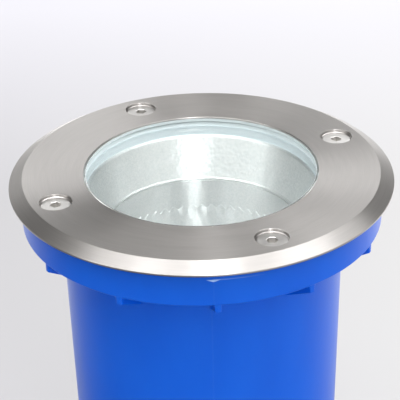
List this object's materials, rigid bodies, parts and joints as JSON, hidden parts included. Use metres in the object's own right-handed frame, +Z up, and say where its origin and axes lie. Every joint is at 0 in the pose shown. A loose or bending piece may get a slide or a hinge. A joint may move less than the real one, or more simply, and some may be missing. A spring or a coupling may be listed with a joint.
{
  "type": "in ground well light",
  "caption": "Recessed ground uplight: brushed stainless cover ring, stepped glass, hammered and faceted reflector, lamp in a cast can, dropped in a blue moulded sleeve.",
  "frame": {"origin": "centre of the sleeve's base, on the surface it stands on", "axes": "+Z up along the lamp's axis, towards the glass; the two conduit sockets lie along X; the front of the picture is towards -Y"},
  "size_m": [0.16, 0.16, 0.24],
  "materials": {
    "blue_plastic": "satin moulded polypropylene",
    "brushed_stainless": "turned, brushed round the ring",
    "stainless_fasteners": "plain stainless",
    "clear_glass": "toughened, clear with a green edge",
    "silicone": "translucent grey silicone",
    "cast_aluminium": "die cast, fine grain",
    "black_rubber": "matt",
    "pale_plastic": "pale grey-blue",
    "hammered_aluminium": "hammered, bright anodised",
    "faceted_aluminium": "polished facets, bright anodised",
    "lamp_tube_glass": "clear quartz",
    "white_ceramic": "unglazed",
    "arc_ceramic": "sintered, translucent white",
    "nickel_pins": "nickel",
    "brass_contacts": "plain brass",
    "zinc_steel": "bright zinc plate",
    "natural_nylon": "natural nylon",
    "lead_sleeving": "glass-braid silicone sleeving",
    "black_nylon": "moulded nylon"
  },
  "bodies": {
    "sleeve": {"install_sleeve": "blue_plastic", "conduit_sockets": "black_nylon"},
    "luminaire": {"lamp_housing": "cast_aluminium", "flange_seal": "black_rubber", "thread_inserts": "stainless_fasteners", "reflector_spacer": "pale_plastic", "reflector_cone": "hammered_aluminium", "reflector_bowl": "faceted_aluminium", "reflector_rivets": "faceted_aluminium", "lampholder": "white_ceramic", "holder_contacts": "brass_contacts", "holder_plate": "zinc_steel", "holder_screws": "zinc_steel", "holder_pillars": "brass_contacts", "pillar_screws": "zinc_steel", "terminal_block": "natural_nylon", "terminal_screws": "zinc_steel", "terminal_fixing": "zinc_steel", "lamp_leads": "lead_sleeving", "earth_screw": "brass_contacts", "earth_washer": "brass_contacts", "gland_body": "black_nylon", "gland_washer": "black_rubber", "gland_seal": "black_rubber", "gland_cap": "black_nylon", "gland_locknut": "black_nylon", "entry_plug": "black_nylon", "plug_seal": "black_rubber"},
    "lens": {"lens_glass": "clear_glass", "lens_gasket": "silicone"},
    "cover": {"bezel": "brushed_stainless", "bezel_screws": "stainless_fasteners"},
    "lamp": {"lamp_glass": "lamp_tube_glass", "lamp_base": "white_ceramic", "lamp_pins": "nickel_pins", "lamp_arc_tube": "arc_ceramic", "lamp_frame": "nickel_pins"}
  },
  "joints": [
    {"name": "luminaire_lift", "type": "slide", "parent": "sleeve", "child": "luminaire", "axis": [0, 0, 1], "range_m": [0, 0.2]},
    {"name": "lens_lift", "type": "slide", "parent": "luminaire", "child": "lens", "axis": [0, 0, 1], "range_m": [0, 0.03]},
    {"name": "cover_lift", "type": "slide", "parent": "lens", "child": "cover", "axis": [0, 0, 1], "range_m": [0, 0.04]},
    {"name": "lamp_pull", "type": "slide", "parent": "luminaire", "child": "lamp", "axis": [0, 0, 1], "range_m": [0, 0.014]}
  ]
}
